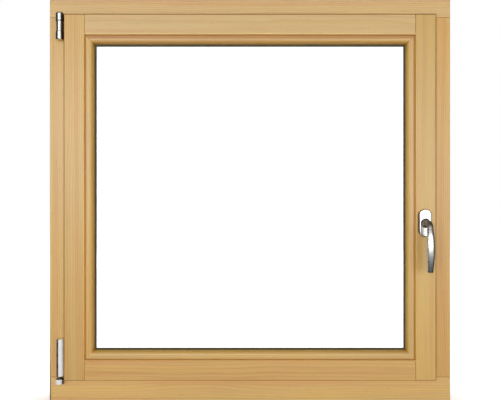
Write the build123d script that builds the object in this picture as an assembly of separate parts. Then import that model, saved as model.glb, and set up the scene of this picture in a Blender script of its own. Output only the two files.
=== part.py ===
"""Tilt and turn window: one timber sash in a timber frame, double glazed, handle on the right.

Millimetres, +Z up. The room side faces -Y and +X is to the right as seen from the room.
The origin is the middle of the frame's underside, halfway through its depth.
"""

from build123d import *
from math import cos, pi, radians, sin, tan
import os

# Overall sizes of the frame
frame_width = 1000.0
frame_height = 1000.0
frame_depth = 68.0

# Frame section, widths inwards from the outer edge on jambs and head
face_width = 44.0  # room-side face, beside the gap for the hardware
stop_width = 64.0  # middle step that the rebate gasket presses on
weather_width = 78.0  # outside step that covers the sash edge
stop_depth = 36.0  # from the room face back to the middle step
weather_step_depth = 52.0  # from the room face back to the outside step
sill_rise = 14.0  # the sill's section is this much higher than the head's
sill_fall = 5.0  # fall of the sill's outside step towards the weather
frame_arris = 1.0  # rounding of the frame's outer arris on the room side

# Working allowances
overshoot = 1.0  # cutters run this far past the faces that they cut
near = 0.1  # edges this close to a place are taken to lie on it
quarter_turn = 90.0

# Sash section, measured inwards from the frame's outer edge
sash_depth = 68.0
lip_proud = 18.0  # the sash face stands this far in front of the frame face
lip_gap = 1.0  # between the back of the lip and the frame face
lip_overlap = 4.0  # the lip covers this much of the frame face
hardware_gap = 12.0  # clear space round the sash body for hardware
stop_gap = 4.0  # across the rebate gasket, and round the outside edge of the sash
rebate_line = 91.5  # where the sash ends and the glazing bead begins
glass_cover = 14.5  # height of the fixed glazing lip on the weather side
glazing_lip_depth = 18.0
glazing_lip_slope = 15.0  # degrees, so that water runs off the lip
sash_outer_arris = 2.0
sash_inner_arris = 3.0

# Double glazing
pane_thickness = 4.0
cavity = 16.0
glass_edge_gap = 4.0  # between the glass edge and the rebate
seal_thickness = 3.0
seal_sight = 4.3  # the room-side seal shows this much past the bead
edge_seal_width = 4.5
spacer_width = 7.5
block_length = 100.0
block_inset = 180.0  # from the glass's side edge to the middle of a setting block

# Glazing bead
bead_width = 20.3
bead_setback = 5.5  # the bead's flat fillet lies this far behind the sash face
bead_fillet = 9.5  # width of the flat fillet
bead_moulding_drop = 13.5  # depth of the convex moulding
bead_quirk = 1.2  # groove between the sash and the bead
bead_quirk_depth = 2.2

# Gaskets between the sash and the frame
gasket_width = 6.0
lip_gasket_width = 2.0
lip_gasket_inset = 0.6  # from the edge of the frame's face

# Corner joints
tenon_clear_depth = 14.0  # thickness of the outer cheek of each corner joint
groove_width = 1.2  # fine groove along each shoulder line
groove_depth = 0.8

# Rain rail on the sill
rail_wall = 2.0
rail_top_depth = 12.0
rail_nose = 5.0
rail_edge_gap = 2.0  # from the rail's face to the frame's outside face
rail_top_fall = 2.0  # the rail's top falls this much towards the weather
rail_cap_length = 8.0
drain_width = 26.0
drain_height = 5.0
drain_rise = 2.5
drain_pitch = 250.0
drain_count = 3

# Hinges
hinge_diameter = 19.5
hinge_inset = 28.0  # from the frame's left edge to the hinge axis
knuckle_foot_width = 11.0
knuckle_gap = 0.3
knuckle_edge = 1.0  # rounding where two knuckles meet
pin_diameter = 7.0
pin_clearance = 0.05
pin_cover = 2.0  # metal left over the pin beyond the rounding of the hinge's end
top_hinge_drop = 35.0  # from the frame's top to the top of the hinge
top_hinge_height = 67.5
top_hinge_dome = 3.2  # rounding of the hinge's upper end
top_hinge_foot_dome = 2.0  # rounding of its lower end
top_bracket_low_height = 20.5
top_bracket_high_height = 20.5
arm_knuckle_diameter = 16.8
strap_thickness = 3.0
strap_height = 16.0
strap_tail = 46.0  # length of the plate that is fixed to the sash edge
bottom_hinge_rise = 44.0  # from the frame's underside to the foot
foot_height = 13.0
foot_gap = 6.0  # the pin shows between the foot and the cover
foot_edge = 1.1
foot_screw_diameter = 2.6
foot_screw_depth = 2.0
foot_screw_rise = 7.8
foot_screw_pitch = 7.4
foot_pin_seat = 6.5  # the pin stands this deep in the foot
cover_height = 92.8
cover_wall = 2.0
cover_diameter = 17.9
cover_offset = 1.0  # the cover's middle lies this far from the axis, towards the sash
cover_clearance = 0.1
cover_dome = 4.4
cover_foot_edge = 0.4
band_pin_reach = 46.0  # the pin reaches this far into the band
band_strap_rise = 8.0  # from the lower end of the band to its strap
band_strap_height = 32.0
band_web = 3.5  # joins the band's core to its strap

# Handle
handle_inset = 69.8  # from the frame's right edge to the handle's axis
handle_rise = 443.4  # from the frame's underside to the handle's axis
rosette_width = 30.8
rosette_height = 69.0
rosette_depth = 11.0
rosette_wall = 1.5
rosette_edge = 3.0
neck_diameter = 15.0
neck_clearance = 0.08
neck_seat = 3.0  # the neck turns in the base down to this height above the sash
neck_gap = 0.3  # between the neck's cone and the rosette
cone_diameter = 23.6
cone_rim = 1.5
cone_height = 11.0
spindle_size = 7.0
spindle_reach = 32.0  # length of the spindle inside the sash
spindle_in_neck = 20.0
spindle_hole = 14.0
grip_standoff = 60.0  # from the sash face to the front of the grip where it is widest
grip_bend_radius = 12.0  # of the middle line, from the neck into the grip
grip_bend_steps = 4
grip_tip_edge = 2.0
grip_outline_points = 24

# Stations down the grip: distance below the handle's axis, setback of the front from where the
# grip is widest, width, thickness, and how square the section is (2 is an ellipse)
grip_stations = [
    (12.0, 6.0, 15.0, 13.6, 2.3),
    (34.0, 1.6, 17.8, 12.6, 2.9),
    (60.0, 0.0, 18.8, 12.0, 3.2),
    (88.0, 2.0, 17.0, 10.8, 3.2),
    (117.0, 7.0, 13.2, 9.0, 3.0),
]

# Places through the depth, from the room to the weather side
frame_room_y = -frame_depth / 2
frame_weather_y = frame_depth / 2
stop_y = frame_room_y + stop_depth
weather_step_y = frame_room_y + weather_step_depth
sash_room_y = frame_room_y - lip_proud
sash_weather_y = sash_room_y + sash_depth
lip_back_y = frame_room_y - lip_gap
sash_step_y = stop_y - stop_gap
glazing_lip_y = sash_weather_y - glazing_lip_depth
outer_pane_y = glazing_lip_y - seal_thickness - pane_thickness
inner_pane_y = outer_pane_y - cavity - pane_thickness
bead_back_y = inner_pane_y - seal_thickness
bead_face_y = sash_room_y + bead_setback

# Places across the section, inwards from the outer edge
lip_edge = face_width - lip_overlap
body_edge = face_width + hardware_gap
weather_edge = stop_width + stop_gap
glazing_lip_edge = rebate_line + glass_cover
glass_edge = rebate_line + glass_edge_gap
bead_edge = rebate_line + bead_width
widest_section = 150.0

# The sash and its glazing are set out from a rectangle that starts at the sill's rise
half_width = frame_width / 2
low_side = sill_rise
high_side = frame_height

# Places of the hinges and the handle
hinge_axis_x = hinge_inset - half_width
hinge_axis_y = frame_room_y - hinge_diameter / 2
top_hinge_high = frame_height - top_hinge_drop
top_hinge_low = top_hinge_high - top_hinge_height
handle_x = half_width - handle_inset
handle_z = handle_rise


def box_between(x0, x1, y0, y1, z0, z1):
    """Box between two corners."""
    return Pos((x0 + x1) / 2, (y0 + y1) / 2, (z0 + z1) / 2) * Box(x1 - x0, y1 - y0, z1 - z0)


def inset_box(inset, y0, y1):
    """Box whose sides lie the same distance inside the sash rectangle."""
    return box_between(inset - half_width, half_width - inset, y0, y1, low_side + inset, high_side - inset)


def frame_opening(inset, y0, y1):
    """Rectangular opening through the frame, with the sill's rise at its foot."""
    return box_between(
        inset - half_width, half_width - inset, y0, y1, sill_rise + inset, frame_height - inset
    )


def side_plane(side):
    """Plane for a section: local x runs inwards from the side, local y runs to the weather side."""
    middle = (low_side + high_side) / 2
    return {
        "left": Plane((-half_width, 0, middle), x_dir=(1, 0, 0), z_dir=(0, 0, 1)),
        "right": Plane((half_width, 0, middle), x_dir=(-1, 0, 0), z_dir=(0, 0, -1)),
        "top": Plane((0, 0, high_side), x_dir=(0, 0, -1), z_dir=(1, 0, 0)),
        "bottom": Plane((0, 0, low_side), x_dir=(0, 0, 1), z_dir=(-1, 0, 0)),
    }[side]


def mitre_wedge(side):
    """Everything that is nearer to this side than to the two beside it."""
    reach = widest_section
    low, high = low_side, high_side
    corners = {
        "left": [(-half_width, low), (reach - half_width, low + reach),
                 (reach - half_width, high - reach), (-half_width, high)],
        "right": [(half_width, low), (half_width, high),
                  (half_width - reach, high - reach), (half_width - reach, low + reach)],
        "top": [(-half_width, high), (reach - half_width, high - reach),
                (half_width - reach, high - reach), (half_width, high)],
        "bottom": [(-half_width, low), (half_width, low),
                   (half_width - reach, low + reach), (reach - half_width, low + reach)],
    }[side]
    outline = Plane.XZ * make_face(Polyline(*corners, close=True))
    return extrude(outline, amount=frame_depth * 2, both=True)


def mitred_bar(section, side):
    """One side of a ring with the given section, mitred at both ends."""
    placed = side_plane(side) * section
    return extrude(placed, amount=max(frame_width, frame_height), both=True) & mitre_wedge(side)


def ring(section):
    """A closed ring of four mitred bars, fused at the corners."""
    bars = [mitred_bar(section, side) for side in ("left", "right", "top", "bottom")]
    return bars[0] + bars[1] + bars[2] + bars[3]


def rectangle(u0, u1, y0, y1):
    """Rectangular section between two distances from the side and two depths."""
    return Pos((u0 + u1) / 2, (y0 + y1) / 2) * Rectangle(u1 - u0, y1 - y0)


def single(shape):
    """The one solid of a shape."""
    return shape.solids()[0]


def write(node, *shapes):
    """Write a node's solids to its own file."""
    solids = [solid for shape in shapes for solid in shape.solids()]
    whole = solids[0] if len(solids) == 1 else Compound(children=solids)
    export_step(whole, f"parts/{node}.step")


def sill_seat_z(y):
    """Height of the sill's sloping outside step at a depth."""
    slope = sill_fall / (frame_weather_y - weather_step_y)
    return sill_rise + face_width - (y - weather_step_y) * slope


# Frame: a box with a stepped opening, divided at its corner joints
def frame_ring():
    """The whole frame, before it is divided into its four members."""
    whole = box_between(-half_width, half_width, frame_room_y, frame_weather_y, 0, frame_height)
    arris = whole.edges().filter_by_position(Axis.Y, frame_room_y - near, frame_room_y + near)
    whole = fillet(arris, frame_arris)
    whole -= frame_opening(face_width, frame_room_y, stop_y)
    whole -= frame_opening(stop_width, stop_y, weather_step_y)
    whole -= frame_opening(weather_width, weather_step_y, frame_weather_y)
    sill_top = sill_rise + weather_width
    fall = Plane.YZ * make_face(
        Polyline(
            (weather_step_y, sill_top),
            (weather_step_y, sill_seat_z(weather_step_y)),
            (frame_weather_y, sill_seat_z(frame_weather_y)),
            (frame_weather_y, sill_top),
            close=True,
        )
    )
    half_opening = half_width - weather_width
    return whole - extrude(fall, amount=half_opening, both=True)


def frame_layers():
    """Cheeks and tenons of the frame's corner joints; the head and sill run through at both faces."""
    cheek_y = frame_room_y + tenon_clear_depth
    middle_y = (stop_y + weather_step_y) / 2
    return [
        (frame_room_y, cheek_y, face_width, True),
        (cheek_y, stop_y, face_width, False),
        (stop_y, middle_y, stop_width, True),
        (middle_y, weather_step_y, stop_width, False),
        (weather_step_y, frame_weather_y, weather_width, True),
    ]


def frame_members():
    """Head, sill, left jamb and right jamb."""
    whole = frame_ring()
    upright = None
    for y0, y1, width, level_runs_through in frame_layers():
        low = sill_rise + width if level_runs_through else 0
        high = frame_height - width if level_runs_through else frame_height
        layer = box_between(half_width - width, half_width, y0, y1, low, high)
        upright = layer if upright is None else upright + layer
    right = whole & upright
    left = whole & upright.mirror(Plane.YZ)
    level = (whole - right - left).solids().sort_by(Axis.Z)
    return level[-1], level[0], single(left), single(right)


def shoulder_grooves():
    """Fine V-grooves along the shoulder lines on the frame's two faces."""
    cutters = []
    for face_y, width in ((frame_room_y, face_width), (frame_weather_y, weather_width)):
        for z in (sill_rise + width, frame_height - width):
            for side in (-1, 1):
                cutters.append(level_groove(side, half_width - width, half_width, face_y, z))
    return cutters


def vee(depth_sign):
    """Section of a fine V-groove whose mouth lies on the local x axis."""
    half = groove_width / 2
    return make_face(Polyline((-half, 0), (half, 0), (0, depth_sign * groove_depth), close=True))


def level_groove(side, x_inner, x_outer, face_y, z):
    """Groove along X, cut into the face at face_y."""
    inwards = 1 if face_y < 0 else -1
    plane = Plane((side * (x_inner + x_outer) / 2, face_y, z), x_dir=(0, 0, 1), z_dir=(-1, 0, 0))
    return extrude(plane * vee(inwards), amount=(x_outer - x_inner) / 2, both=True)


def upright_groove(x, face_y, z_low, z_high):
    """Groove along Z, cut into the face at face_y."""
    inwards = 1 if face_y < 0 else -1
    plane = Plane((x, face_y, (z_low + z_high) / 2), x_dir=(1, 0, 0), z_dir=(0, 0, 1))
    return extrude(plane * vee(inwards), amount=(z_high - z_low) / 2, both=True)


# Sash: a ring with a moulded section, divided at its corner joints
def sash_section():
    """Section of the sash with its lip, steps, glazing rebate and sloping glazing lip."""
    fall = glazing_lip_depth * tan(radians(glazing_lip_slope))
    outline = make_face(
        Polyline(
            (lip_edge, sash_room_y),
            (rebate_line, sash_room_y),
            (rebate_line, glazing_lip_y),
            (glazing_lip_edge, glazing_lip_y),
            (glazing_lip_edge - fall, sash_weather_y),
            (weather_edge, sash_weather_y),
            (weather_edge, sash_step_y),
            (body_edge, sash_step_y),
            (body_edge, lip_back_y),
            (lip_edge, lip_back_y),
            close=True,
        )
    )
    face_corners = outline.vertices().filter_by_position(Axis.Y, sash_room_y - near, sash_room_y + near)
    outer, inner = face_corners.sort_by(Axis.X)
    outline = fillet(outer, sash_outer_arris)
    inner = outline.vertices().filter_by_position(Axis.X, rebate_line - near, rebate_line + near)
    return fillet(inner.sort_by(Axis.Y)[0], sash_inner_arris)


def sash_layers():
    """Cheeks and tenons of the sash's corner joints; the stiles run through at both faces."""
    cheek_y = sash_room_y + tenon_clear_depth
    return [
        (sash_room_y, cheek_y, rebate_line, True),
        (cheek_y, lip_back_y + tenon_clear_depth, rebate_line, False),
        (lip_back_y + tenon_clear_depth, glazing_lip_y, rebate_line, True),
        (glazing_lip_y, sash_weather_y, glazing_lip_edge, True),
    ]


def sash_members():
    """Left stile, right stile, top rail and bottom rail."""
    whole = ring(sash_section())
    upright = None
    for y0, y1, width, upright_runs_through in sash_layers():
        low = low_side if upright_runs_through else low_side + width
        high = high_side if upright_runs_through else high_side - width
        layer = box_between(half_width - width, half_width, y0, y1, low, high)
        upright = layer if upright is None else upright + layer
    right = whole & upright
    left = whole & upright.mirror(Plane.YZ)
    level = (whole - right - left).solids().sort_by(Axis.Z)
    return single(left), single(right), level[-1], level[0]


def sash_grooves():
    """Fine V-grooves along the shoulder lines on the sash's two faces."""
    cutters = []
    places = (
        (sash_room_y, rebate_line, lip_edge, rebate_line),
        (sash_weather_y, glazing_lip_edge, weather_edge, glazing_lip_edge),
    )
    for face_y, line, outer, inner in places:
        for side in (-1, 1):
            x = side * (half_width - line)
            cutters.append(upright_groove(x, face_y, high_side - inner, high_side - outer))
            cutters.append(upright_groove(x, face_y, low_side + outer, low_side + inner))
    return cutters


# Glazing: bead, panes, spacer, seals and setting blocks
def bead_section():
    """Flat fillet with a quirk against the sash, then a convex moulding down to the glass."""
    moulding_start = rebate_line + bead_quirk + bead_fillet
    moulding_end_y = bead_face_y + bead_moulding_drop
    outline = Line((rebate_line, bead_back_y), (rebate_line, bead_face_y + bead_quirk_depth))
    outline += Line(
        (rebate_line, bead_face_y + bead_quirk_depth),
        (rebate_line + bead_quirk, bead_face_y + bead_quirk_depth),
    )
    outline += Line(
        (rebate_line + bead_quirk, bead_face_y + bead_quirk_depth),
        (rebate_line + bead_quirk, bead_face_y),
    )
    outline += Line((rebate_line + bead_quirk, bead_face_y), (moulding_start, bead_face_y))
    outline += EllipticalCenterArc(
        (moulding_start, moulding_end_y),
        bead_edge - moulding_start,
        bead_moulding_drop,
        start_angle=270,
        arc_size=quarter_turn,
    )
    outline += Line((bead_edge, moulding_end_y), (bead_edge, bead_back_y))
    outline += Line((bead_edge, bead_back_y), (rebate_line, bead_back_y))
    return make_face(outline)


def pane(y0):
    """One pane of glass with its room-side face at y0."""
    return inset_box(glass_edge, y0, y0 + pane_thickness)


def setting_blocks():
    """Two blocks that carry the glass on the bottom rebate."""
    blocks = []
    for side in (-1, 1):
        middle = side * (half_width - glass_edge - block_inset)
        blocks.append(
            box_between(
                middle - block_length / 2, middle + block_length / 2,
                inner_pane_y, glazing_lip_y - seal_thickness,
                low_side + rebate_line, low_side + glass_edge,
            )
        )
    return blocks


# Rain rail
rail_face_y = frame_weather_y - rail_edge_gap
rail_inner_y = rail_face_y - rail_top_depth
rail_foot_y = weather_step_y + rail_edge_gap


def rail_top_z(y):
    """Height of the rail's falling top at a depth."""
    fall = rail_top_fall * (y - rail_inner_y) / rail_top_depth
    return sill_rise + weather_width - fall


def rail_section():
    """Bent section in YZ: a foot on the sill, a face, a falling top and a nose towards the sash."""
    inside_y = rail_face_y - rail_wall
    nose_y = rail_inner_y + rail_wall
    nose_z = rail_top_z(rail_inner_y) - rail_nose
    return make_face(
        Polyline(
            (rail_foot_y, sill_seat_z(rail_foot_y)),
            (rail_face_y, sill_seat_z(rail_face_y)),
            (rail_face_y, rail_top_z(rail_face_y)),
            (rail_inner_y, rail_top_z(rail_inner_y)),
            (rail_inner_y, nose_z),
            (nose_y, nose_z),
            (nose_y, rail_top_z(nose_y) - rail_wall),
            (inside_y, rail_top_z(inside_y) - rail_wall),
            (inside_y, sill_seat_z(inside_y) + rail_wall),
            (rail_foot_y, sill_seat_z(rail_foot_y) + rail_wall),
            close=True,
        )
    )


def rain_rail():
    """The rail between its end caps, with drain slots through its face."""
    length = frame_width - 2 * weather_width - 2 * rail_cap_length
    rail = extrude(Plane.YZ * rail_section(), amount=length / 2, both=True)
    slot_z = sill_seat_z(rail_face_y) + rail_wall + drain_rise + drain_height / 2
    for index in range(drain_count):
        x = (index - (drain_count - 1) / 2) * drain_pitch
        slot = Plane.XZ * Pos(x, slot_z) * SlotOverall(drain_width, drain_height)
        rail -= Pos(0, rail_face_y, 0) * extrude(slot, amount=rail_wall * 2, both=True)
    return rail


def rail_end_caps():
    """Solid caps that close the rail against the jambs."""
    outline = make_face(
        Polyline(
            (rail_inner_y, sill_seat_z(rail_inner_y)),
            (rail_face_y, sill_seat_z(rail_face_y)),
            (rail_face_y, rail_top_z(rail_face_y)),
            (rail_inner_y, rail_top_z(rail_inner_y)),
            close=True,
        )
    )
    outer = half_width - weather_width
    cap = extrude(Plane.YZ * outline, amount=rail_cap_length)
    return [Pos(outer - rail_cap_length, 0, 0) * cap, Pos(-outer, 0, 0) * cap]


# Hinges: knuckles standing on the frame face beside the sash lip
def knuckle(diameter, low, high, round_low, round_high, foot=True):
    """Barrel on the hinge axis with rounded ends, and a foot that seats on the frame face."""
    barrel = Pos(0, 0, (low + high) / 2) * Cylinder(diameter / 2, high - low)
    barrel = fillet(barrel.edges().group_by(Axis.Z)[-1], round_high)
    barrel = fillet(barrel.edges().group_by(Axis.Z)[0], round_low)
    if foot:
        barrel += box_between(
            -knuckle_foot_width / 2, knuckle_foot_width / 2, 0, hinge_diameter / 2,
            low + round_low, high - round_high,
        )
    return Pos(hinge_axis_x, hinge_axis_y, 0) * barrel


def axis_rod(diameter, low, high):
    """Cylinder on the hinge axis."""
    return Pos(hinge_axis_x, hinge_axis_y, (low + high) / 2) * Cylinder(diameter / 2, high - low)


bore_diameter = pin_diameter + 2 * pin_clearance
strap_y = frame_room_y - knuckle_gap - strap_thickness


def strap(low, high, tail_low, tail_high):
    """Flat strap under the lip that turns into the gap and lies against the sash edge."""
    sash_edge_x = body_edge - half_width
    fixed_x = sash_edge_x - strap_thickness
    level = box_between(hinge_axis_x, sash_edge_x, strap_y, strap_y + strap_thickness, low, high)
    turn = box_between(fixed_x, sash_edge_x, strap_y, sash_step_y, low, high)
    tail = box_between(
        fixed_x, sash_edge_x, lip_back_y + knuckle_gap, sash_step_y, tail_low, tail_high
    )
    return level + turn + tail


def strap_pocket(low, high):
    """Recess in the back of the lip that the strap passes through."""
    return box_between(
        lip_edge - half_width - overshoot, body_edge - half_width,
        strap_y - knuckle_gap, lip_back_y + overshoot, low - knuckle_gap, high + knuckle_gap,
    )


def top_hinge_parts():
    """Bracket with two knuckles, arm with the middle knuckle, pin, and the lip pocket."""
    arm_low = top_hinge_low + top_bracket_low_height + knuckle_gap
    arm_high = top_hinge_high - top_bracket_high_height - knuckle_gap
    low_knuckle = knuckle(
        hinge_diameter, top_hinge_low, arm_low - knuckle_gap, top_hinge_foot_dome, knuckle_edge
    )
    high_knuckle = knuckle(
        hinge_diameter, arm_high + knuckle_gap, top_hinge_high, knuckle_edge, top_hinge_dome
    )
    pin_low = top_hinge_low + top_hinge_foot_dome + pin_cover
    pin_high = top_hinge_high - top_hinge_dome - pin_cover
    pin = axis_rod(pin_diameter, pin_low, pin_high)
    bracket = [low_knuckle - pin, high_knuckle - pin]
    middle = (arm_low + arm_high) / 2
    strap_low, strap_high = middle - strap_height / 2, middle + strap_height / 2
    arm = knuckle(arm_knuckle_diameter, arm_low, arm_high, knuckle_edge, knuckle_edge, foot=False)
    arm += strap(strap_low, strap_high, strap_low - strap_tail, strap_high)
    arm -= axis_rod(bore_diameter, arm_low - overshoot, arm_high + overshoot)
    return bracket, arm, pin, strap_pocket(strap_low, strap_high)


def bottom_hinge_parts():
    """Bearing foot, band under its cover, cover, pin, and the lip pocket."""
    foot_high = bottom_hinge_rise + foot_height
    cover_low = foot_high + foot_gap
    cover_high = cover_low + cover_height
    pin_low = foot_high - foot_pin_seat
    pin = axis_rod(pin_diameter, pin_low, cover_low + band_pin_reach)

    foot = knuckle(hinge_diameter, bottom_hinge_rise, foot_high, foot_edge, foot_edge)
    foot -= axis_rod(pin_diameter, pin_low, foot_high + overshoot)
    front_y = hinge_axis_y - hinge_diameter / 2
    for side in (-1, 1):
        drilled = Pos(
            hinge_axis_x + side * foot_screw_pitch / 2, front_y + foot_screw_depth,
            bottom_hinge_rise + foot_screw_rise,
        )
        screw = Plane.XZ * Circle(foot_screw_diameter / 2)
        foot -= drilled * extrude(screw, amount=hinge_diameter / 2)

    bore_high = cover_low + band_pin_reach + overshoot
    inner_diameter = cover_diameter - 2 * cover_wall
    core_diameter = inner_diameter - 2 * (cover_offset + cover_clearance)
    strap_low = cover_low + band_strap_rise
    strap_high = strap_low + band_strap_height
    band = axis_rod(core_diameter, cover_low, cover_high - cover_wall - cover_dome)
    band += box_between(
        hinge_axis_x, hinge_axis_x + band_web, hinge_axis_y, strap_y + strap_thickness,
        strap_low, strap_high,
    )
    band += strap(strap_low, strap_high, strap_low, strap_high + strap_tail)
    band -= axis_rod(bore_diameter, cover_low - overshoot, bore_high)

    shell = knuckle(cover_diameter, cover_low, cover_high, cover_foot_edge, cover_dome, foot=False)
    shell -= axis_rod(inner_diameter, cover_low - overshoot, cover_high - cover_wall - cover_dome)
    shell = Pos(cover_offset, 0, 0) * shell
    slot = box_between(
        hinge_axis_x, hinge_axis_x + hinge_diameter, strap_y - knuckle_gap, frame_room_y,
        cover_low - overshoot, strap_high + knuckle_gap,
    )
    return foot, band, shell - slot, pin, strap_pocket(strap_low, strap_high)


# Handle
rosette_face_y = sash_room_y - rosette_depth
neck_start_y = sash_room_y - neck_seat
grip_front_y = sash_room_y - grip_standoff
root_drop, root_setback, root_width, root_thickness, root_squareness = grip_stations[0]
bend_end_y = grip_front_y + root_setback + root_thickness / 2
bend_start_y = bend_end_y + grip_bend_radius


def at_handle(y):
    """Plane across the handle's axis; local x runs along +X and local y along +Z."""
    return Plane((handle_x, y, handle_z), x_dir=(1, 0, 0), z_dir=(0, -1, 0))


def stadium(width, height):
    """Upright slot outline."""
    return Rot(0, 0, quarter_turn) * SlotOverall(height, width)


def rosette_hollow():
    """Space inside the rosette, which the base fills."""
    inner_width = rosette_width - 2 * rosette_wall
    inner_height = rosette_height - 2 * rosette_wall
    return extrude(
        at_handle(sash_room_y) * stadium(inner_width, inner_height), amount=rosette_depth - rosette_wall
    )


def neck_bore():
    """Hole that the neck turns in, through base and rosette."""
    hole = at_handle(sash_room_y) * Circle(neck_diameter / 2 + neck_clearance)
    return extrude(hole, amount=rosette_depth + overshoot)


def handle_rosette():
    """Pressed cover over the base."""
    body = extrude(at_handle(sash_room_y) * stadium(rosette_width, rosette_height), amount=rosette_depth)
    body = fillet(body.edges().group_by(Axis.Y)[0], rosette_edge)
    return body - rosette_hollow() - neck_bore()


def spindle_bar():
    """Square spindle from the sash into the neck."""
    length = spindle_reach + neck_seat + spindle_in_neck
    square = at_handle(sash_room_y + spindle_reach) * Rectangle(spindle_size, spindle_size)
    return extrude(square, amount=length)


def grip_outline(y, z, turn, width, thickness, squareness):
    """Section of the lever across its middle line, between an ellipse and a rounded rectangle."""
    plane = Plane((handle_x, y, z), x_dir=(1, 0, 0), z_dir=(0, -cos(turn), -sin(turn)))
    points = []
    for index in range(grip_outline_points):
        angle = 2 * pi * index / grip_outline_points
        across, through = cos(angle), sin(angle)
        power = 2 / squareness
        points.append((
            width / 2 * (abs(across) ** power) * (1 if across > 0 else -1),
            thickness / 2 * (abs(through) ** power) * (1 if through > 0 else -1),
        ))
    return plane * make_face(Spline(*points, periodic=True))


def bend_sections():
    """Sections of the lever from its round neck to the foot of the bend."""
    sections = [at_handle(bend_start_y) * Circle(neck_diameter / 2)]
    for step in range(1, grip_bend_steps + 1):
        share = step / grip_bend_steps
        turn = share * pi / 2
        sections.append(grip_outline(
            bend_start_y - grip_bend_radius * sin(turn),
            handle_z - grip_bend_radius * (1 - cos(turn)),
            turn,
            neck_diameter + share * (root_width - neck_diameter),
            neck_diameter + share * (root_thickness - neck_diameter),
            2 + share * (root_squareness - 2),
        ))
    return sections


def grip_sections():
    """Sections of the grip from the foot of the bend down to the tip."""
    return [
        grip_outline(
            grip_front_y + setback + thickness / 2, handle_z - drop, pi / 2, width, thickness, squareness
        )
        for drop, setback, width, thickness, squareness in grip_stations
    ]


def lever_neck():
    """Round neck with a cone that stands on the rosette, turned about the handle's axis."""
    cone_y = rosette_face_y - neck_gap
    radius, foot = neck_diameter / 2, cone_diameter / 2
    outline = Polyline(
        (0, neck_start_y), (radius, neck_start_y), (radius, cone_y), (foot, cone_y),
        (foot, cone_y - cone_rim), (radius, cone_y - cone_height), (radius, bend_start_y),
        (0, bend_start_y), close=True,
    )
    return Pos(handle_x, 0, handle_z) * revolve(make_face(outline), Axis.Y)


def handle_lever():
    """Lever: a neck out of the rosette and a bowed grip that hangs from it."""
    grip = loft(grip_sections())
    grip = fillet(grip.edges().group_by(Axis.Z)[0], grip_tip_edge)
    return lever_neck() + loft(bend_sections()) + grip - spindle_bar()


def spindle_bore():
    """Hole for the spindle, drilled into the right stile from the room side."""
    depth = spindle_reach + neck_seat
    hole = at_handle(sash_room_y + depth) * Circle(spindle_hole / 2)
    return extrude(hole, amount=depth + overshoot)


# Build every node
os.makedirs("parts", exist_ok=True)

head, sill, left_jamb, right_jamb = frame_members()
for cutter in shoulder_grooves():
    head, sill = head - cutter, sill - cutter
    left_jamb, right_jamb = left_jamb - cutter, right_jamb - cutter

left_stile, right_stile, top_rail, bottom_rail = sash_members()
for cutter in sash_grooves():
    left_stile, right_stile = left_stile - cutter, right_stile - cutter
    top_rail, bottom_rail = top_rail - cutter, bottom_rail - cutter

top_bracket, top_arm, top_pin, top_pocket = top_hinge_parts()
bearing, band, cover, bottom_pin, bottom_pocket = bottom_hinge_parts()
left_stile = left_stile - top_pocket - bottom_pocket
top_rail = top_rail - top_pocket
bottom_rail = bottom_rail - bottom_pocket
right_stile = right_stile - spindle_bore()

write("frame_head", head)
write("frame_sill", sill)
write("frame_left_jamb", left_jamb)
write("frame_right_jamb", right_jamb)
write("sash_left_stile", left_stile)
write("sash_right_stile", right_stile)
write("sash_top_rail", top_rail)
write("sash_bottom_rail", bottom_rail)

for side in ("left", "right", "top", "bottom"):
    write(f"bead_{side}", mitred_bar(bead_section(), side))

write("glass_room_pane", pane(inner_pane_y))
write("glass_weather_pane", pane(outer_pane_y))
spacer_edge = glass_edge + edge_seal_width
spacer_y = inner_pane_y + pane_thickness
write("glass_edge_seal", ring(rectangle(glass_edge, spacer_edge, spacer_y, outer_pane_y)))
write("glass_spacer", ring(rectangle(spacer_edge, spacer_edge + spacer_width, spacer_y, outer_pane_y)))
write("setting_blocks", *setting_blocks())
write("glazing_seal_room", ring(rectangle(glass_edge, bead_edge + seal_sight, bead_back_y, inner_pane_y)))
seal_back_y = glazing_lip_y - seal_thickness
write("glazing_seal_weather", ring(rectangle(glass_edge, glazing_lip_edge, seal_back_y, glazing_lip_y)))

gasket_edge = stop_width - gasket_width
write("rebate_gasket", ring(rectangle(gasket_edge, stop_width, sash_step_y, stop_y)))
lip_gasket_edge = face_width - lip_gasket_inset
lip_gasket = ring(
    rectangle(lip_gasket_edge - lip_gasket_width, lip_gasket_edge, lip_back_y, frame_room_y)
)
write("lip_gasket", lip_gasket - top_pocket - bottom_pocket)

write("rain_rail", rain_rail())
write("rain_rail_end_caps", *rail_end_caps())

write("top_hinge_bracket", *top_bracket)
write("top_hinge_arm", top_arm)
write("top_hinge_pin", top_pin)
write("bottom_hinge_bearing", bearing)
write("bottom_hinge_band", band)
write("bottom_hinge_cover", cover)
write("bottom_hinge_pin", bottom_pin)

write("handle_base", rosette_hollow() - neck_bore())
write("handle_rosette", handle_rosette())
write("handle_lever", handle_lever())
write("handle_spindle", spindle_bar())
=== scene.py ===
"""Looks of the timber tilt and turn window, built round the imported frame. Metres, +Z up."""

import bpy
from math import radians
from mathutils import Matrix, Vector


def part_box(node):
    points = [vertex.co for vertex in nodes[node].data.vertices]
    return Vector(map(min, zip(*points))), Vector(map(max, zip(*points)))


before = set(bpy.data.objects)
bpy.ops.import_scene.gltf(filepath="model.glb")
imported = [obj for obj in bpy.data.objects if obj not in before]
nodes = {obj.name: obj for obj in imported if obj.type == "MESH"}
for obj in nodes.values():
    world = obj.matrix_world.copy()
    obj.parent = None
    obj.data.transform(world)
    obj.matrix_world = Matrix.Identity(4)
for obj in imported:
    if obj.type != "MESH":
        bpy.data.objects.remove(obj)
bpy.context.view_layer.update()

MM = 0.001

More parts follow.
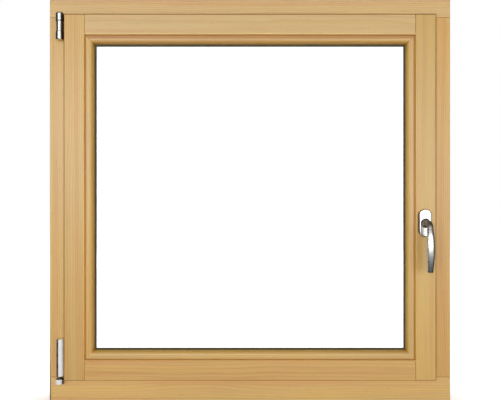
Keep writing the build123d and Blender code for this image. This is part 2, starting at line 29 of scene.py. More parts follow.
# Photograph: the frame's room-side face fills 400 of 500 by 400 pixels, seen square on
photo_width = 500
frame_width_px = 400.4
camera_distance = 1.500  # from the frame's room-side face
sensor_width = 36.0
nearest_seen = 0.01
farthest_seen = 60.0
middle = (0.0, 0.0, 0.5)  # of the window, where the camera and the lamps are aimed

# Light levels: 1 is white
white = (1.0, 1.0, 1.0)  # of the studio and of the floor's lift
ambient = 0.20
dark_studio = 0.025
floor_lift_near = 0.34  # with the lamps' own light the floor comes to white outside the shadow
floor_lift_far = 0.84
through_glass = 1.12  # makes up for what four glass faces turn back

# Edges of the bright patches that metal mirrors, in degrees, each from dark to bright or back:
# left and right of straight ahead, from beside to behind the window, and below and above level
patch_left = (-52, -28)
patch_right = (30, 54)
patch_behind = (112, 140)
patch_low = (-31, -2)
patch_high = (14, 46)

# Lamps: place, width and height in metres, power in watts, and whether metal mirrors them
lamps = {
    "left_side": ((-4.2, 0.9, 1.0), 1.6, 1.6, 60.0, False),
    "right_side": ((4.2, 0.9, 1.0), 1.6, 1.6, 60.0, False),
    "overhead": ((0.0, 0.9, 4.6), 1.6, 1.6, 60.0, False),
    "key": ((-1.4, -4.3, 1.1), 2.2, 1.4, 65.0, True),
    "front_fill": ((1.2, -4.3, 0.8), 2.2, 1.4, 56.0, True),
    "back_key": ((1.4, 4.0, 2.0), 2.4, 1.8, 52.0, True),
    "back_fill": ((-1.2, 4.2, 0.6), 2.2, 0.9, 22.0, True),
}

# Floor
floor_reach = 12.0
floor_drop = 0.0005  # keeps it clear of the frame's underside
floor_pale = (0.95, 0.95, 0.95)
floor_bounce = (0.55, 0.55, 0.55)  # its colour in the light that it throws back
floor_roughness = 0.9
floor_lift_fade = (1.0, 4.0)  # distances between which its lift goes from near to far

# Timber colours, linear, of the early wood between the rings and of the late wood in them
honey_pale = (0.700, 0.480, 0.235)
honey_deep = (0.470, 0.235, 0.080)
resin = (0.16, 0.06, 0.02)
resin_strength = 0.35

# Noise on the boards: scale along and across the grain, detail and roughness
bend_grain = (2.2, 7.0, 2.0, 0.5)  # bends the growth rings
width_grain = (0.7, 60.0, 1.0, 0.5)  # makes them wide or narrow
strength_grain = (1.0, 14.0, 1.0, 0.5)  # makes them strong or faint
streak_grain = (1.4, 55.0, 3.0, 0.55)
cloud_grain = (3.0, 9.0, 1.0, 0.5)
fibre_grain = (18.0, 1400.0, 3.0, 0.6)
fleck_grain = (60.0, 900.0, 0.0, 0.5)
ring_unevenness = 1.6  # in rings
ring_strength_least = 0.5
ring_strength_reach = 0.75  # what the noise adds to it at the most
noise_middle = 0.5  # what noise gives on average

# Stops: how dark the wood is across a growth ring, what tones the noise gives, where flecks
# start and are full, and how rough the lacquer is
ring_darkness = [(0.0, 0.10), (0.45, 0.16), (0.80, 0.62), (0.93, 0.85), (1.0, 0.10)]
streak_tones = [(0.34, (1.03, 1.04, 0.93)), (0.50, (1.0, 1.0, 1.0)), (0.64, (0.98, 0.89, 0.87))]
cloud_tones = [(0.30, (0.96, 0.955, 0.94)), (0.70, (1.03, 1.03, 1.03))]
fibre_tones = [(0.30, (0.93, 0.92, 0.90)), (0.60, (1.02, 1.02, 1.02))]
fleck_stops = [(0.795, 0.0), (0.84, 1.0)]
lacquer_roughness = [(0.3, 0.40), (0.7, 0.50)]
coat_weight = 0.25
coat_roughness = 0.28

# Tones that the timber is multiplied by: painted light and shade on the sash's arrises and beads,
# and dark lines in its joints and mitres and on the frame's lower left arris
# Painted light on the sash's inner arris, which lightens the shade in its groove
inner_painted_light = (1.14, 0.98, 0.64)  # on the sash's inner arris
inner_painted_light_and_shade = {
    # Painted shade on the bottom rail's inner arris, where it faces up into the light
    "sash_bottom_rail": (0.90, 0.84, 0.56),  # where it faces up
    # More painted light on the top rail's inner arris, where it faces down into shade
    "sash_top_rail": (1.42, 1.36, 1.12),  # where it faces down
}
joint_line = (0.66, 0.52, 0.36)  # in the fine groove at the sash's corner joints
# Painted shade on the moulding's steep foot, where it turns away towards the glass
foot_painted_shade = (0.72, 0.68, 0.36)  # where the bead's moulding meets the glass
mitre_line = (0.62, 0.48, 0.34)
# Painted shadow along the sash's outer edges, where its lip stands proud of the frame
outer_edge_painted_shadow = (0.84, 0.74, 0.40)  # along the outer edges of the sash's face
top_edge_painted_shadow = (0.72, 0.58, 0.40)  # and more of it along the upper one
arris_darkening = (0.19, 0.12, 0.07)  # on the frame's lower left arris

# Depths behind a board's face at which stain and painted shade start, are full, start to fade, and
# have ended
groove_depths = (0.02 * MM, 0.14 * MM, 2.6 * MM, 3.6 * MM)
moulding_depths = (0.1 * MM, 1.2 * MM, 16 * MM, 20 * MM)
foot_depths = (1.5 * MM, 6.0 * MM, 16 * MM, 20 * MM)

# Distances from an edge or seam at which its mark starts and is full: the painted shadow along
# the sash's edges, the dark mitre lines, the darker arris line and the dark lines in metal joints
outer_edge_width = (3.8 * MM, 2.2 * MM)
top_edge_width = (3.6 * MM, 2.0 * MM)
mitre_width = (1.3 * MM, 0.3 * MM)
arris_darkening_width = (3.4 * MM, 2.6 * MM)
arris_darkening_depth = (4.0 * MM, 2.0 * MM)
ring_dirt_width = (0.6 * MM, 0.1 * MM)
ring_dirt_ragged = 0.9 * MM  # how far its edge wanders

# Heights between which a mark or a board's tone comes or goes. The painted shadow along the
# sash's outer edges comes in above its lower edge
outer_edge_fade = 60 * MM  # from the sash's lower edge up
mitre_fade = (0.0, 0.9)  # the lower mitres are tighter
arris_darkening_fade = (0.20, 0.0)
drift_fade = (0.10, 0.90)

# The sash is laid out round the height sash_middle, and is wider than high by twice sash_wider.
# Its inner arris and its outer edge are this far from the middle, measured up and down
sash_middle = 0.507
sash_wider = 0.007
inner_arris_reach = 0.4045
outer_reach = 0.453
joint_line_start = (inner_arris_reach, inner_arris_reach + 1 * MM)
outermost_start = (outer_reach - 4 * MM, outer_reach - 3 * MM)

# Timber: each member is its own board. upright, the place of the heart that its growth rings
# are centred on (X or Z across the grain, then Y), how far along the grain it is cut, the tint,
# and the figure: the rings' width in millimetres, how far they sway, and how dark they are
boards = {
    "frame_head": (False, (1.075, 0.030), 0.0, (1.098, 1.096, 0.931), (4.4, 0.034, 0.56)),
    "frame_sill": (False, (-0.060, 0.050), 3.1, (1.140, 1.080, 0.783), (5.0, 0.040, 0.40)),
    "frame_left_jamb": (True, (-0.590, 0.030), 5.3, (1.060, 1.001, 0.670), (3.6, 0.030, 0.56)),
    "frame_right_jamb": (True, (0.585, 0.020), 7.7, (1.045, 0.939, 0.582), (3.8, 0.030, 0.60)),
    "sash_top_rail": (False, (0.905, 0.085), 11.2, (0.986, 0.982, 0.844), (5.6, 0.062, 0.42)),
    "sash_bottom_rail": (False, (0.020, 0.060), 13.9, (1.057, 0.921, 0.625), (4.6, 0.046, 0.52)),
    "sash_left_stile": (True, (-0.500, 0.030), 17.4, (1.022, 0.968, 0.640), (4.0, 0.032, 0.56)),
    "sash_right_stile": (True, (0.530, -0.020), 19.8, (0.990, 0.957, 0.611), (4.2, 0.030, 0.48)),
    "bead_top": (False, (0.870, -0.100), 23.5, (0.965, 0.914, 0.728), (3.4, 0.026, 0.52)),
    "bead_bottom": (False, (0.080, -0.100), 29.1, (1.042, 1.012, 0.780), (3.4, 0.026, 0.60)),
    "bead_left": (True, (-0.420, -0.110), 31.6, (1.013, 1.041, 0.743), (3.4, 0.026, 0.52)),
    "bead_right": (True, (0.420, -0.110), 37.3, (1.016, 1.026, 0.763), (3.4, 0.026, 0.52)),
}

# Streaks of darker wood along a board, and on the beads painted shade beside the sash: place
# across the grain, half width, and tone
streaks_and_painted_shade = {
    "frame_head": [(1.000, 6 * MM, (0.91, 0.82, 0.74)), (0.989, 3 * MM, (0.97, 0.94, 0.91))],
    # Painted shadow of the top rail on the top bead's fillet, and painted shade in the other beads'
    # quirks
    "bead_top": [(0.906, 9 * MM, (0.74, 0.55, 0.25))],
    "bead_bottom": [(0.107, 3.4 * MM, (0.94, 0.88, 0.71))],
    "bead_left": [(-0.407, 4.6 * MM, (0.97, 0.77, 0.39))],
    "bead_right": [(0.407, 4.0 * MM, (0.83, 0.67, 0.38))],
    "frame_left_jamb": [(-0.492, 4 * MM, (0.96, 0.91, 0.87))],
    "sash_left_stile": [(-0.449, 10 * MM, (0.96, 0.92, 0.89))],
    "frame_right_jamb": [(0.452, 9 * MM, (0.96, 0.91, 0.87))],
    "sash_bottom_rail": [(0.074, 6 * MM, (0.97, 0.94, 0.91))],
}
band_wander = 0.6  # how far a streak bends with the grain, in its half widths
band_core = 0.4  # how far out it keeps its full tone, likewise

# Tones at an upright board's lower and upper ends
drifts = {
    "frame_left_jamb": ((1.05, 1.08, 1.10), (0.95, 0.95, 0.99)),
    "sash_right_stile": ((1.10, 1.07, 1.05), (0.98, 0.98, 0.99)),
    "bead_left": ((1.06, 1.04, 1.01), (0.96, 0.93, 0.91)),
}

# Tones in the grooves of the frame's and the sash's members, and in the beads' moulding: stain that
# gathers there, and painted shade, which on the sash's outermost arris is a painted shadow line.
# The sash's bottom rail and the bottom and right beads have paler copies
groove_stain_and_shade = {
    "frame": (0.58, 0.39, 0.20),
    "sash": (0.22, 0.13, 0.05),
    "sash_bottom_rail": (0.55, 0.44, 0.24),
    "bead": (1.05, 0.93, 0.72),
    "bead_bottom": (0.95, 0.89, 0.74),
    "bead_right": (1.03, 0.98, 0.82),
}

# Metal, rubber, plastic and glass colours, linear
bright = (0.74, 0.73, 0.71)
pale_coat = (0.96, 0.96, 0.94)
# Painted light that makes the bottom hinge cover's right side lighter
cover_painted_light = (1.0, 1.0, 0.98)
lever_silver = (0.47, 0.465, 0.44)
# Dark joint lines in the metal, and the painted shade on the bearing foot beside the sash
nearly_black = (0.035, 0.028, 0.020)
# Painted shade and painted dark reflection on the hinge beside the sash
hinge_shade = (0.20, 0.14, 0.09)
# Painted shade round the rosette's left edge
rosette_shade = (0.09, 0.075, 0.06)
# Painted dark reflections on the lever's neck and elbow
neck_painted_shade = (0.28, 0.24, 0.21)
elbow_painted_shade = (0.25, 0.22, 0.185)
oiled = (0.16, 0.16, 0.155)
mill_aluminium = (0.72, 0.73, 0.74)
rubber_black = (0.085, 0.075, 0.045)
cap_grey = (0.17, 0.175, 0.18)
block_black = (0.07, 0.07, 0.07)
base_black = (0.02, 0.02, 0.02)
glass_tint = (0.995, 1.0, 0.997)
glass_shadow = (0.985, 0.992, 0.988)  # the colour of light that has come through a pane
glass_index = 1.45  # of refraction
coated_metallic = 0.08  # how metallic the pale coat is

# Texture of metal and plastic: noise scale, detail and roughness
handling_marks = (90.0, 3.0, 0.6)
pore_noise = (700.0, 3.0, 0.65)
cloud_noise = (40.0, 2.0, 0.5)
# The noise where metal is smoothest and roughest, and where it is clean and worn
rough_between = (0.35, 0.65)
worn_between = (0.35, 0.70)
worn_share = 0.93  # of its brightness that worn metal keeps
# The noise where plastic is darkest or smoothest, and where it is lightest or roughest
plastic_between = (0.3, 0.7)
cloud_gain = 1.25  # how much lighter plastic is where it is clouded
pore_roughness = 0.08  # what the pores add to the roughness, or take from it

# Relief: how strong it shows, and its height
wood_relief = (0.25, 0.08 * MM)
metal_relief = (0.05, 0.02 * MM)
plastic_relief = (0.15, 0.05 * MM)
ring_relief = 0.6  # how deep late wood lies, against the height of the fibres

# Distances at which metal starts to turn to its painted shade, or on the cover its painted light,
# and has turned: across the hinges from their middle, across the rosette from its left edge, along
# the neck from the rosette's face, and along the elbow from the height of the handle's axis
hinge_turn = (5.8 * MM, 8.2 * MM)
cover_turn = (1.0 * MM, 6.0 * MM)
cover_coat = (-1.8 * MM, -0.2 * MM)  # where its pale coat starts
foot_turn = (6.6 * MM, 8.2 * MM)
rosette_turn = (2.4 * MM, 0.9 * MM)
neck_turn = (-36 * MM, -26 * MM)
elbow_turn = (-24 * MM, -4 * MM)


def node_tree(name):
    """New material with a Principled shader; returns it with its nodes, links and shader."""
    material = bpy.data.materials.new(name)
    material.use_nodes = True
    tree = material.node_tree
    shader = tree.nodes["Principled BSDF"]
    return material, tree.nodes, tree.links, shader


def feed(links, socket, value):
    """Sets an input to a number or a colour, or links another node's output to it."""
    if isinstance(value, tuple):
        socket.default_value = (*value, 1.0)
    elif isinstance(value, (int, float)):
        socket.default_value = value
    else:
        links.new(value, socket)


def maths(nodes_of, links, operation, *values, clamp=False):
    """Math node on sockets or numbers; returns its output."""
    node = nodes_of.new("ShaderNodeMath")
    node.operation = operation
    node.use_clamp = clamp
    for socket, value in zip(node.inputs, values):
        feed(links, socket, value)
    return node.outputs[0]


def ramp(nodes_of, links, factor, stops):
    """Colour ramp with stops of a position and a colour or a grey; returns its colour output."""
    stops = list(stops)
    node = nodes_of.new("ShaderNodeValToRGB")
    elements = node.color_ramp.elements
    while len(elements) < len(stops):
        elements.new(0.5)
    for element, (position, colour) in zip(elements, stops):
        grey = isinstance(colour, (int, float))
        element.position = position
        element.color = (colour, colour, colour, 1.0) if grey else (*colour, 1.0)
    links.new(factor, node.inputs["Fac"])
    return node.outputs["Color"]


def mix(nodes_of, links, factor, first, second, mode="MIX"):
    """Mixes two colours, each a socket or a tuple; returns the result socket."""
    node = nodes_of.new("ShaderNodeMix")
    node.data_type = "RGBA"
    node.blend_type = mode
    for name, value in (("Factor", factor), (6, first), (7, second)):
        feed(links, node.inputs[name], value)
    return node.outputs[2]


def tinted(nodes_of, links, colour, tone):
    """The colour multiplied by a tone."""
    return mix(nodes_of, links, 1.0, colour, tone, "MULTIPLY")


def stained(nodes_of, links, factor, colour, tone):
    """The colour, multiplied by a tone as far as the factor says."""
    return mix(nodes_of, links, factor, colour, tinted(nodes_of, links, colour, tone))


def product(nodes_of, links, *factors):
    """All the factors multiplied."""
    result = factors[0]
    for factor in factors[1:]:
        result = maths(nodes_of, links, "MULTIPLY", result, factor)
    return result


def blend(nodes_of, links, factor, low, high):
    """Number between low and high by a factor; each is a socket or a number."""
    node = nodes_of.new("ShaderNodeMix")
    for name, value in (("Factor", factor), ("A", low), ("B", high)):
        feed(links, node.inputs[name], value)
    return node.outputs["Result"]


def smooth_step(nodes_of, links, value, start, end):
    """Goes smoothly from 0 at start to 1 at end, which may lie below start."""
    node = nodes_of.new("ShaderNodeMapRange")
    node.interpolation_type = "SMOOTHSTEP"
    node.inputs["From Min"].default_value = start
    node.inputs["From Max"].default_value = end
    links.new(value, node.inputs["Value"])
    return node.outputs["Result"]


def noise(nodes_of, links, vector, detail=2.0, roughness=0.5):
    """Noise texture on a vector that has its scale already; returns its factor output."""
    node = nodes_of.new("ShaderNodeTexNoise")
    node.inputs["Scale"].default_value = 1.0
    node.inputs["Detail"].default_value = detail
    node.inputs["Roughness"].default_value = roughness
    links.new(vector, node.inputs["Vector"])
    return node.outputs["Fac"]


def object_coordinates(nodes_of, links):
    """Object coordinates: the vector, and the node that splits it into X, Y and Z."""
    vector = nodes_of.new("ShaderNodeTexCoord").outputs["Object"]
    split = nodes_of.new("ShaderNodeSeparateXYZ")
    links.new(vector, split.inputs[0])
    return vector, split


def scaled(nodes_of, links, vector, scales):
    """The vector multiplied by a scale on each axis."""
    node = nodes_of.new("ShaderNodeVectorMath")
    node.operation = "MULTIPLY"
    node.inputs[1].default_value = scales
    links.new(vector, node.inputs[0])
    return node.outputs[0]


def even_noise(nodes_of, links, vector, scale, detail, roughness):
    """Noise with the same scale on each axis."""
    return noise(nodes_of, links, scaled(nodes_of, links, vector, (scale,) * 3), detail, roughness)


def surface_bump(nodes_of, links, shader, height, strength, distance):
    """Gives the shader a bump from a height."""
    bump = nodes_of.new("ShaderNodeBump")
    bump.inputs["Strength"].default_value = strength
    bump.inputs["Distance"].default_value = distance
    links.new(height, bump.inputs["Height"])
    links.new(bump.outputs[0], shader.inputs["Normal"])


def board_wood(at, links, along, across, depth, heart, seed, figure):
    """Colour of a softwood board: growth rings round a heart, streaks, fibres and flecks.

    along, across and depth are places on the board's axes, and seed moves the board to a stretch
    of the grain of its own. Returns the colour, how far the grain wanders, and the late wood, the
    streaks and the fibres.
    """
    ring_mm, sway_reach, contrast = figure
    grain = at.new("ShaderNodeCombineXYZ")
    for value, socket in zip((maths(at, links, "ADD", along, seed), across, depth), grain.inputs):
        links.new(value, socket)

    def grain_noise(along_scale, across_scale, detail, roughness):
        """Noise that runs along the board."""
        scales = (along_scale, across_scale, across_scale)
        return noise(at, links, scaled(at, links, grain.outputs[0], scales), detail, roughness)

    # Growth rings: distance from the heart, bent by slow noise along the board
    wander = maths(at, links, "SUBTRACT", grain_noise(*bend_grain), noise_middle)
    sway = maths(at, links, "MULTIPLY", wander, sway_reach)
    aside = maths(at, links, "ADD", maths(at, links, "SUBTRACT", across, heart[0]), sway)
    behind = maths(at, links, "SUBTRACT", depth, heart[1])
    squared = maths(at, links, "ADD", maths(at, links, "MULTIPLY", aside, aside),
                    maths(at, links, "MULTIPLY", behind, behind))
    radius = maths(at, links, "SQRT", squared)
    uneven = maths(at, links, "MULTIPLY", grain_noise(*width_grain), ring_unevenness)
    rings = maths(at, links, "ADD", maths(at, links, "DIVIDE", radius, ring_mm * MM), uneven)
    phase = maths(at, links, "FRACT", rings)
    late = ramp(at, links, phase, ring_darkness)
    strength = maths(at, links, "MULTIPLY_ADD", grain_noise(*strength_grain),
                     ring_strength_reach, ring_strength_least)
    faded = maths(at, links, "MULTIPLY", late, strength, clamp=True)
    wood = mix(at, links, maths(at, links, "MULTIPLY", faded, contrast), honey_pale, honey_deep)

    # Pink streaks, slow clouds and fine fibres along the grain
    streaks = grain_noise(*streak_grain)
    fibres = grain_noise(*fibre_grain)
    for values, tones in ((streaks, streak_tones), (grain_noise(*cloud_grain), cloud_tones),
                          (fibres, fibre_tones)):
        wood = tinted(at, links, wood, ramp(at, links, values, tones))

    # Short dark resin flecks
    fleck = ramp(at, links, grain_noise(*fleck_grain), fleck_stops)
    wood = mix(at, links, maths(at, links, "MULTIPLY", fleck, resin_strength), wood, resin)
    return wood, wander, faded, streaks, fibres


def sash_groove_tone(at, links, node, deep, reach):
    """Tone in a sash member's grooves: painted light and shade on its inner arris, dark lines in
    the corner joints, painted shadow outermost.
    """
    inner = inner_painted_light_and_shade.get(node, inner_painted_light)
    outside = smooth_step(at, links, reach, *joint_line_start)
    outermost = smooth_step(at, links, reach, *outermost_start)
    return mix(at, links, outermost, mix(at, links, outside, inner, joint_line), deep)


def edge_marks(at, links, kind, wood, x, z, recess, aside, above):
    """Adds painted shadow along the sash's edges and the other marks along edges and seams to the
    colour.

    aside and above are the distances from the middle of the sash, which are equal at its mitres,
    and recess is the depth behind the board's face.
    """
    if kind == "frame":
        # Darker line along the frame's lower left arris, darker towards the bottom
        starts, full = arris_darkening_width
        darkened = product(at, links,
                        smooth_step(at, links, x, frame_left_x + starts, frame_left_x + full),
                        smooth_step(at, links, z, *arris_darkening_fade),
                        smooth_step(at, links, recess, *arris_darkening_depth))
        return stained(at, links, darkened, wood, arris_darkening)
    if kind == "bead":
        from_mitre = maths(at, links, "ABSOLUTE", maths(at, links, "SUBTRACT", aside, above))
        seam = product(at, links, smooth_step(at, links, from_mitre, *mitre_width),
                       smooth_step(at, links, z, *mitre_fade))
        return stained(at, links, seam, wood, mitre_line)
    # Painted shadow along the sash's outer edges, faded out at its lower edge, and more of it along
    # the top one
    reach = maths(at, links, "MAXIMUM", aside, above)
    starts, full = outer_edge_width
    edge = product(at, links,
                   smooth_step(at, links, reach, outer_reach - starts, outer_reach - full),
                   smooth_step(at, links, z, sash_low_z, sash_low_z + outer_edge_fade))
    wood = stained(at, links, edge, wood, outer_edge_painted_shadow)
    starts, full = top_edge_width
    edge = smooth_step(at, links, z, sash_high_z - starts, sash_high_z - full)
    return stained(at, links, edge, wood, top_edge_painted_shadow)


def pine(node, face_y, upright, heart, seed, tint, figure):
    """Lacquered softwood for a board: see boards for the settings, and face_y is its front face.

    The stain and the painted shade are deeper in the grooves, arrises and mouldings behind that
    face.
    """
    material, at, links, shader = node_tree(f"pine_{node}")
    kind = node.split("_")[0]
    x, y, z = object_coordinates(at, links)[1].outputs
    along, across = (z, x) if upright else (x, z)
    wood, wander, faded, streaks, fibres = board_wood(at, links, along, across, y, heart, seed,
                                                      figure)
    wood = tinted(at, links, wood, tint)
    # Darker wood streaks, and on the beads painted shade and shadow beside the sash
    for place, half_width, band_tone in streaks_and_painted_shade.get(node, ()):
        bent = maths(at, links, "MULTIPLY", wander, half_width * band_wander)
        apart = maths(at, links, "ADD", maths(at, links, "SUBTRACT", across, place), bent)
        apart = maths(at, links, "ABSOLUTE", apart)
        fade = smooth_step(at, links, apart, half_width, half_width * band_core)
        wood = stained(at, links, fade, wood, band_tone)
    if node in drifts:
        rise = smooth_step(at, links, z, *drift_fade)
        wood = tinted(at, links, wood, mix(at, links, rise, *drifts[node]))

    # Stain and painted shade behind the face. aside and above are distances from the middle of the
    # sash, and the larger one, reach, is the same all round it
    recess = maths(at, links, "SUBTRACT", y, face_y)
    aside = maths(at, links, "SUBTRACT", maths(at, links, "ABSOLUTE", x), sash_wider)
    above = maths(at, links, "ABSOLUTE", maths(at, links, "SUBTRACT", z, sash_middle))
    deep = groove_stain_and_shade.get(node, groove_stain_and_shade[kind])
    if kind == "bead":
        recess_tones = [(deep, moulding_depths), (foot_painted_shade, foot_depths)]
    elif kind == "sash":
        reach = maths(at, links, "MAXIMUM", aside, above)
        recess_tones = [(sash_groove_tone(at, links, node, deep, reach), groove_depths)]
    else:
        recess_tones = [(deep, groove_depths)]
    for recess_tone, (start, full, fades, ends) in recess_tones:
        recessed = maths(at, links, "SUBTRACT", smooth_step(at, links, recess, start, full),
                         smooth_step(at, links, recess, fades, ends))
        wood = stained(at, links, recessed, wood, recess_tone)
    wood = edge_marks(at, links, kind, wood, x, z, recess, aside, above)
    links.new(wood, shader.inputs["Base Color"])

    # Satin lacquer that follows the fibres a little
    links.new(ramp(at, links, streaks, lacquer_roughness), shader.inputs["Roughness"])
    shader.inputs["Coat Weight"].default_value = coat_weight
    shader.inputs["Coat Roughness"].default_value = coat_roughness
    sunk = maths(at, links, "MULTIPLY", faded, ring_relief)
    height = maths(at, links, "SUBTRACT", fibres, sunk)
    surface_bump(at, links, shader, height, *wood_relief)
    return material


def dress(node, material):
    """Gives every material slot of a CAD node the material."""
    mesh = nodes[node].data
    if not mesh.materials:
        mesh.materials.append(material)
    for index in range(len(mesh.materials)):
        mesh.materials[index] = material


sash_low_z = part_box("sash_bottom_rail")[0][2]
sash_high_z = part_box("sash_top_rail")[1][2]
frame_left_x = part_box("frame_sill")[0][0]
for node, settings in boards.items():
    face_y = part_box(node)[0][1]
    dress(node, pine(node, face_y, *settings))


# Scales on X, Y and Z of the grain of metal that isn't brushed, or is brushed along an axis
brushings = {None: (900.0, 900.0, 900.0), "X": (60.0, 2500.0, 2500.0), "Z": (2500.0, 2500.0, 60.0)}


def metal(name, colour, roughness, brushed_along=None, painted_shading=(), painted=None, dull=None,
          rings=(), metallic=1.0):
    """Anodised or plated metal with fine brushing and faint handling marks.

    roughness is the least and the most of it. The list of painted shading gives the axis, origin,
    reach and colour of a painted shade or painted light: the metal turns from its own colour to
    that one between the reach's two distances from the origin along the axis. painted is an origin
    and a reach along X, in which bare metal turns into metal with a pale coat. dull is the
    roughness where the painted shading lies, and rings are heights at which dirt lies in a joint.
    metallic is coated_metallic where the whole piece has the pale coat.
    """
    material, at, links, shader = node_tree(name)
    shader.inputs["Metallic"].default_value = metallic
    vector, split = object_coordinates(at, links)

    def turned(axis, origin, reach):
        """Goes from 0 to 1 between the reach's two distances from the origin."""
        return smooth_step(at, links, split.outputs[axis], origin + reach[0], origin + reach[1])

    grain = noise(at, links, scaled(at, links, vector, brushings[brushed_along]))
    marks = even_noise(at, links, vector, *handling_marks)
    average = maths(at, links, "ADD", maths(at, links, "MULTIPLY", grain, 0.5),
                    maths(at, links, "MULTIPLY", marks, 0.5))
    rough = ramp(at, links, average, zip(rough_between, roughness))
    worn = tuple(channel * worn_share for channel in colour)
    tone = ramp(at, links, average, zip(worn_between, (colour, worn)))
    # Painted shade, and on the cover painted light, along an axis
    for *place, shading_tone in painted_shading:
        share = turned(*place)
        tone = mix(at, links, share, tone, shading_tone)
        if dull:
            rough = blend(at, links, share, rough, dull)
    for ring in rings:
        apart = maths(at, links, "ABSOLUTE", maths(at, links, "SUBTRACT", split.outputs["Z"], ring))
        ragged = maths(at, links, "MULTIPLY", marks, ring_dirt_ragged)
        apart = maths(at, links, "SUBTRACT", apart, ragged)
        tone = mix(at, links, smooth_step(at, links, apart, *ring_dirt_width), tone, nearly_black)
    links.new(rough, shader.inputs["Roughness"])
    if painted:
        coat = turned("X", *painted)
        links.new(blend(at, links, coat, metallic, coated_metallic), shader.inputs["Metallic"])
    links.new(tone, shader.inputs["Base Color"])
    surface_bump(at, links, shader, grain, *metal_relief)
    return material


def plastic(name, colour, roughness, gloss=0.5):
    """Moulded plastic or rubber with a fine eroded texture and slight clouding."""
    material, at, links, shader = node_tree(name)
    vector = object_coordinates(at, links)[0]
    pores = even_noise(at, links, vector, *pore_noise)
    clouds = even_noise(at, links, vector, *cloud_noise)
    lighter = tuple(min(1.0, channel * cloud_gain) for channel in colour)
    tone = ramp(at, links, clouds, zip(plastic_between, (colour, lighter)))
    links.new(tone, shader.inputs["Base Color"])
    rough = (roughness - pore_roughness, roughness + pore_roughness)
    links.new(ramp(at, links, pores, zip(plastic_between, rough)), shader.inputs["Roughness"])
    surface_bump(at, links, shader, pores, *plastic_relief)
    shader.inputs["Specular IOR Level"].default_value = gloss
    return material


def clear_glass(name):
    """Thin clear float glass that lets lamps and sight straight through and mirrors a little."""
    material, at, links, shader = node_tree(name)
    feed(links, shader.inputs["Base Color"], glass_tint)
    shader.inputs["Transmission Weight"].default_value = 1.0
    shader.inputs["Roughness"].default_value = 0.0
    shader.inputs["IOR"].default_value = glass_index
    clear = at.new("ShaderNodeBsdfTransparent")
    feed(links, clear.inputs["Color"], glass_shadow)
    path = at.new("ShaderNodeLightPath")
    shadow, diffuse = path.outputs["Is Shadow Ray"], path.outputs["Is Diffuse Ray"]
    lets_by = maths(at, links, "MAXIMUM", shadow, diffuse)
    choose = at.new("ShaderNodeMixShader")
    links.new(lets_by, choose.inputs["Fac"])
    links.new(shader.outputs[0], choose.inputs[1])
    links.new(clear.outputs[0], choose.inputs[2])
    links.new(choose.outputs[0], at["Material Output"].inputs["Surface"])
    return material


glass = clear_glass("float_glass")
dress("glass_room_pane", glass)
dress("glass_weather_pane", glass)

rubber = plastic("seal_rubber", rubber_black, roughness=0.85, gloss=0.1)
for node in ("glass_edge_seal", "glazing_seal_room", "glazing_seal_weather", "rebate_gasket",
             "lip_gasket"):
    dress(node, rubber)

# Painted shade and painted dark reflections darken the metal beside the sash on the hinges and the
# bearing foot, round the rosette's left edge, and on the lever's neck and elbow, and painted light
# lightens the cover's right side. The bottom hinge has a pale coat, but for a strip of bare metal
# along the cover's left side
hinge_low, hinge_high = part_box("top_hinge_bracket")
hinge_x = (hinge_low[0] + hinge_high[0]) / 2
rosette_low, rosette_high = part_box("handle_rosette")
handle_z = (rosette_low[2] + rosette_high[2]) / 2
arm_low, arm_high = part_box("top_hinge_arm")
foot_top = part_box("bottom_hinge_bearing")[1][2]
cover_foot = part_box("bottom_hinge_cover")[0][2]
hinge_metal = metal("silver_hinge", bright, roughness=(0.16, 0.28), brushed_along="Z",
                    painted_shading=[("X", hinge_x, hinge_turn, hinge_shade)],
                    rings=(arm_low[2], arm_high[2]))
cover_metal = metal("silver_cover", pale_coat, roughness=(0.22, 0.34), brushed_along="Z",
                    painted_shading=[("X", hinge_x, cover_turn, cover_painted_light)],
                    painted=(hinge_x, cover_coat), rings=(cover_foot,))
foot_metal = metal("silver_foot", pale_coat, roughness=(0.30, 0.42), brushed_along="Z",
                   painted_shading=[("X", hinge_x, foot_turn, nearly_black)],
                   rings=(foot_top,), metallic=coated_metallic)
rosette_metal = metal("silver_rosette", bright, roughness=(0.26, 0.36), brushed_along="Z",
                      painted_shading=[("X", rosette_low[0], rosette_turn, rosette_shade)])
lever_metal = metal("silver_lever", lever_silver, roughness=(0.20, 0.32), brushed_along="Z",
                    painted_shading=[("Y", rosette_low[1], neck_turn, neck_painted_shade),
                             ("Z", handle_z, elbow_turn, elbow_painted_shade)], dull=0.55)
steel = metal("oiled_steel", oiled, roughness=(0.30, 0.42))
spacer_metal = metal("spacer_aluminium", mill_aluminium, roughness=(0.30, 0.42),
                     brushed_along="X")
rail_metal = metal("rail_aluminium", mill_aluminium, roughness=(0.34, 0.46), brushed_along="X")
for node in ("top_hinge_bracket", "top_hinge_arm", "bottom_hinge_band"):
    dress(node, hinge_metal)
for node in ("top_hinge_pin", "bottom_hinge_pin", "handle_spindle"):
    dress(node, steel)
dress("bottom_hinge_cover", cover_metal)
dress("bottom_hinge_bearing", foot_metal)
dress("handle_rosette", rosette_metal)
dress("handle_lever", lever_metal)
dress("glass_spacer", spacer_metal)
dress("rain_rail", rail_metal)
dress("rain_rail_end_caps", plastic("cap_plastic", cap_grey, roughness=0.5))
dress("setting_blocks", plastic("block_plastic", block_black, roughness=0.5))
dress("handle_base", plastic("base_plastic", base_black, roughness=0.45))


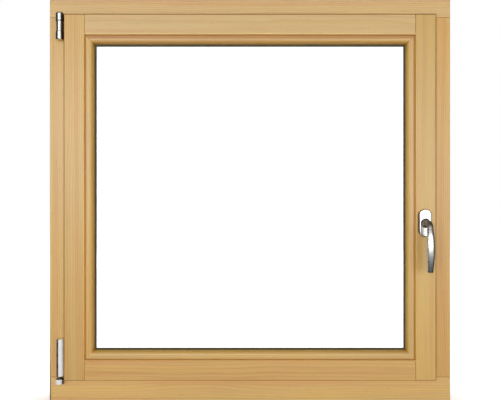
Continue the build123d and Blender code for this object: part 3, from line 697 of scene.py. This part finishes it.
def floor_material():
    """Pale floor, lifted to white to the eye and through glass, with the object's shadow kept."""
    material, at, links, shader = node_tree("floor_white")
    shader.inputs["Roughness"].default_value = floor_roughness
    feed(links, shader.inputs["Emission Color"], white)
    path = at.new("ShaderNodeLightPath")
    pale = mix(at, links, path.outputs["Is Camera Ray"], floor_bounce, floor_pale)
    links.new(pale, shader.inputs["Base Color"])
    distance = at.new("ShaderNodeVectorMath")
    distance.operation = "LENGTH"
    links.new(object_coordinates(at, links)[0], distance.inputs[0])
    far = smooth_step(at, links, distance.outputs["Value"], *floor_lift_fade)
    lift = blend(at, links, far, floor_lift_near, floor_lift_far)
    seen = maths(at, links, "MULTIPLY", path.outputs["Is Camera Ray"], lift)
    seen = blend(at, links, path.outputs["Is Transmission Ray"], seen, through_glass)
    links.new(seen, shader.inputs["Emission Strength"])
    return material


floor_mesh = bpy.data.meshes.new("floor")
corners = [(x * floor_reach, y * floor_reach, 0) for x, y in ((-1, -1), (1, -1), (1, 1), (-1, 1))]
floor_mesh.from_pydata(corners, [], [(0, 1, 2, 3)])
floor = bpy.data.objects.new("floor", floor_mesh)
bpy.context.scene.collection.objects.link(floor)
floor_mesh.materials.append(floor_material())
floor.location.z = -floor_drop
floor.visible_glossy = False  # mirrors show the white studio there, as they do everywhere else


def studio_world():
    """World that is white to the eye and through glass and gives soft grey light.

    Metal mirrors a broad bright patch before the window and one behind it, and darkness beside,
    above and below them.
    """
    world = bpy.data.worlds.new("studio")
    world.use_nodes = True
    at = world.node_tree.nodes
    links = world.node_tree.links
    background = at["Background"]
    feed(links, background.inputs["Color"], white)
    direction = at.new("ShaderNodeSeparateXYZ")
    links.new(at.new("ShaderNodeTexCoord").outputs["Generated"], direction.inputs[0])
    x, y, z = direction.outputs

    def turned_on(angle, edge):
        """Goes from 0 to 1 between an edge's two angles."""
        return smooth_step(at, links, angle, radians(edge[0]), radians(edge[1]))

    azimuth = maths(at, links, "ARCTAN2", x, maths(at, links, "MULTIPLY", y, -1.0))
    height = maths(at, links, "ARCSINE", z)
    before = maths(at, links, "SUBTRACT", turned_on(azimuth, patch_left),
                   turned_on(azimuth, patch_right))
    behind = turned_on(maths(at, links, "ABSOLUTE", azimuth), patch_behind)
    level = maths(at, links, "SUBTRACT", turned_on(height, patch_low),
                  turned_on(height, patch_high))
    patch = maths(at, links, "MULTIPLY", maths(at, links, "MAXIMUM", before, behind), level)
    mirrored = blend(at, links, patch, dark_studio, 1.0)
    path = at.new("ShaderNodeLightPath")
    strength = blend(at, links, path.outputs["Is Glossy Ray"], ambient, mirrored)
    strength = blend(at, links, path.outputs["Is Camera Ray"], strength, 1.0)
    strength = blend(at, links, path.outputs["Is Transmission Ray"], strength, through_glass)
    links.new(strength, background.inputs["Strength"])
    return world


bpy.context.scene.world = studio_world()


def softbox(name, place, width, height, power, mirrored):
    """Rectangular area lamp aimed at the window's middle."""
    lamp = bpy.data.lights.new(name, "AREA")
    lamp.shape = "RECTANGLE"
    lamp.size = width
    lamp.size_y = height
    lamp.energy = power
    holder = bpy.data.objects.new(name, lamp)
    bpy.context.scene.collection.objects.link(holder)
    holder.location = place
    direction = Vector(middle) - Vector(place)
    holder.rotation_euler = direction.to_track_quat("-Z", "Y").to_euler()
    holder.visible_glossy = mirrored
    holder.visible_transmission = False  # the glass shows the white studio, not the lamps


for name, settings in lamps.items():
    softbox(name, *settings)

# Camera: square on to the room side, at the height of the window's middle
frame_low, frame_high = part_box("frame_sill")
room_face_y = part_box("frame_head")[0][1]
frame_width = frame_high[0] - frame_low[0]
camera_data = bpy.data.cameras.new("camera")
camera_data.sensor_width = sensor_width
camera_data.sensor_fit = "HORIZONTAL"
view_width = frame_width * photo_width / frame_width_px
camera_data.lens = sensor_width * camera_distance / view_width
camera_data.clip_start = nearest_seen
camera_data.clip_end = farthest_seen
camera = bpy.data.objects.new("camera", camera_data)
bpy.context.scene.collection.objects.link(camera)
camera.location = (middle[0], room_face_y - camera_distance, middle[2])
camera.rotation_euler = (radians(90), 0, 0)
bpy.context.scene.camera = camera

bpy.context.scene.view_settings.view_transform = "Standard"
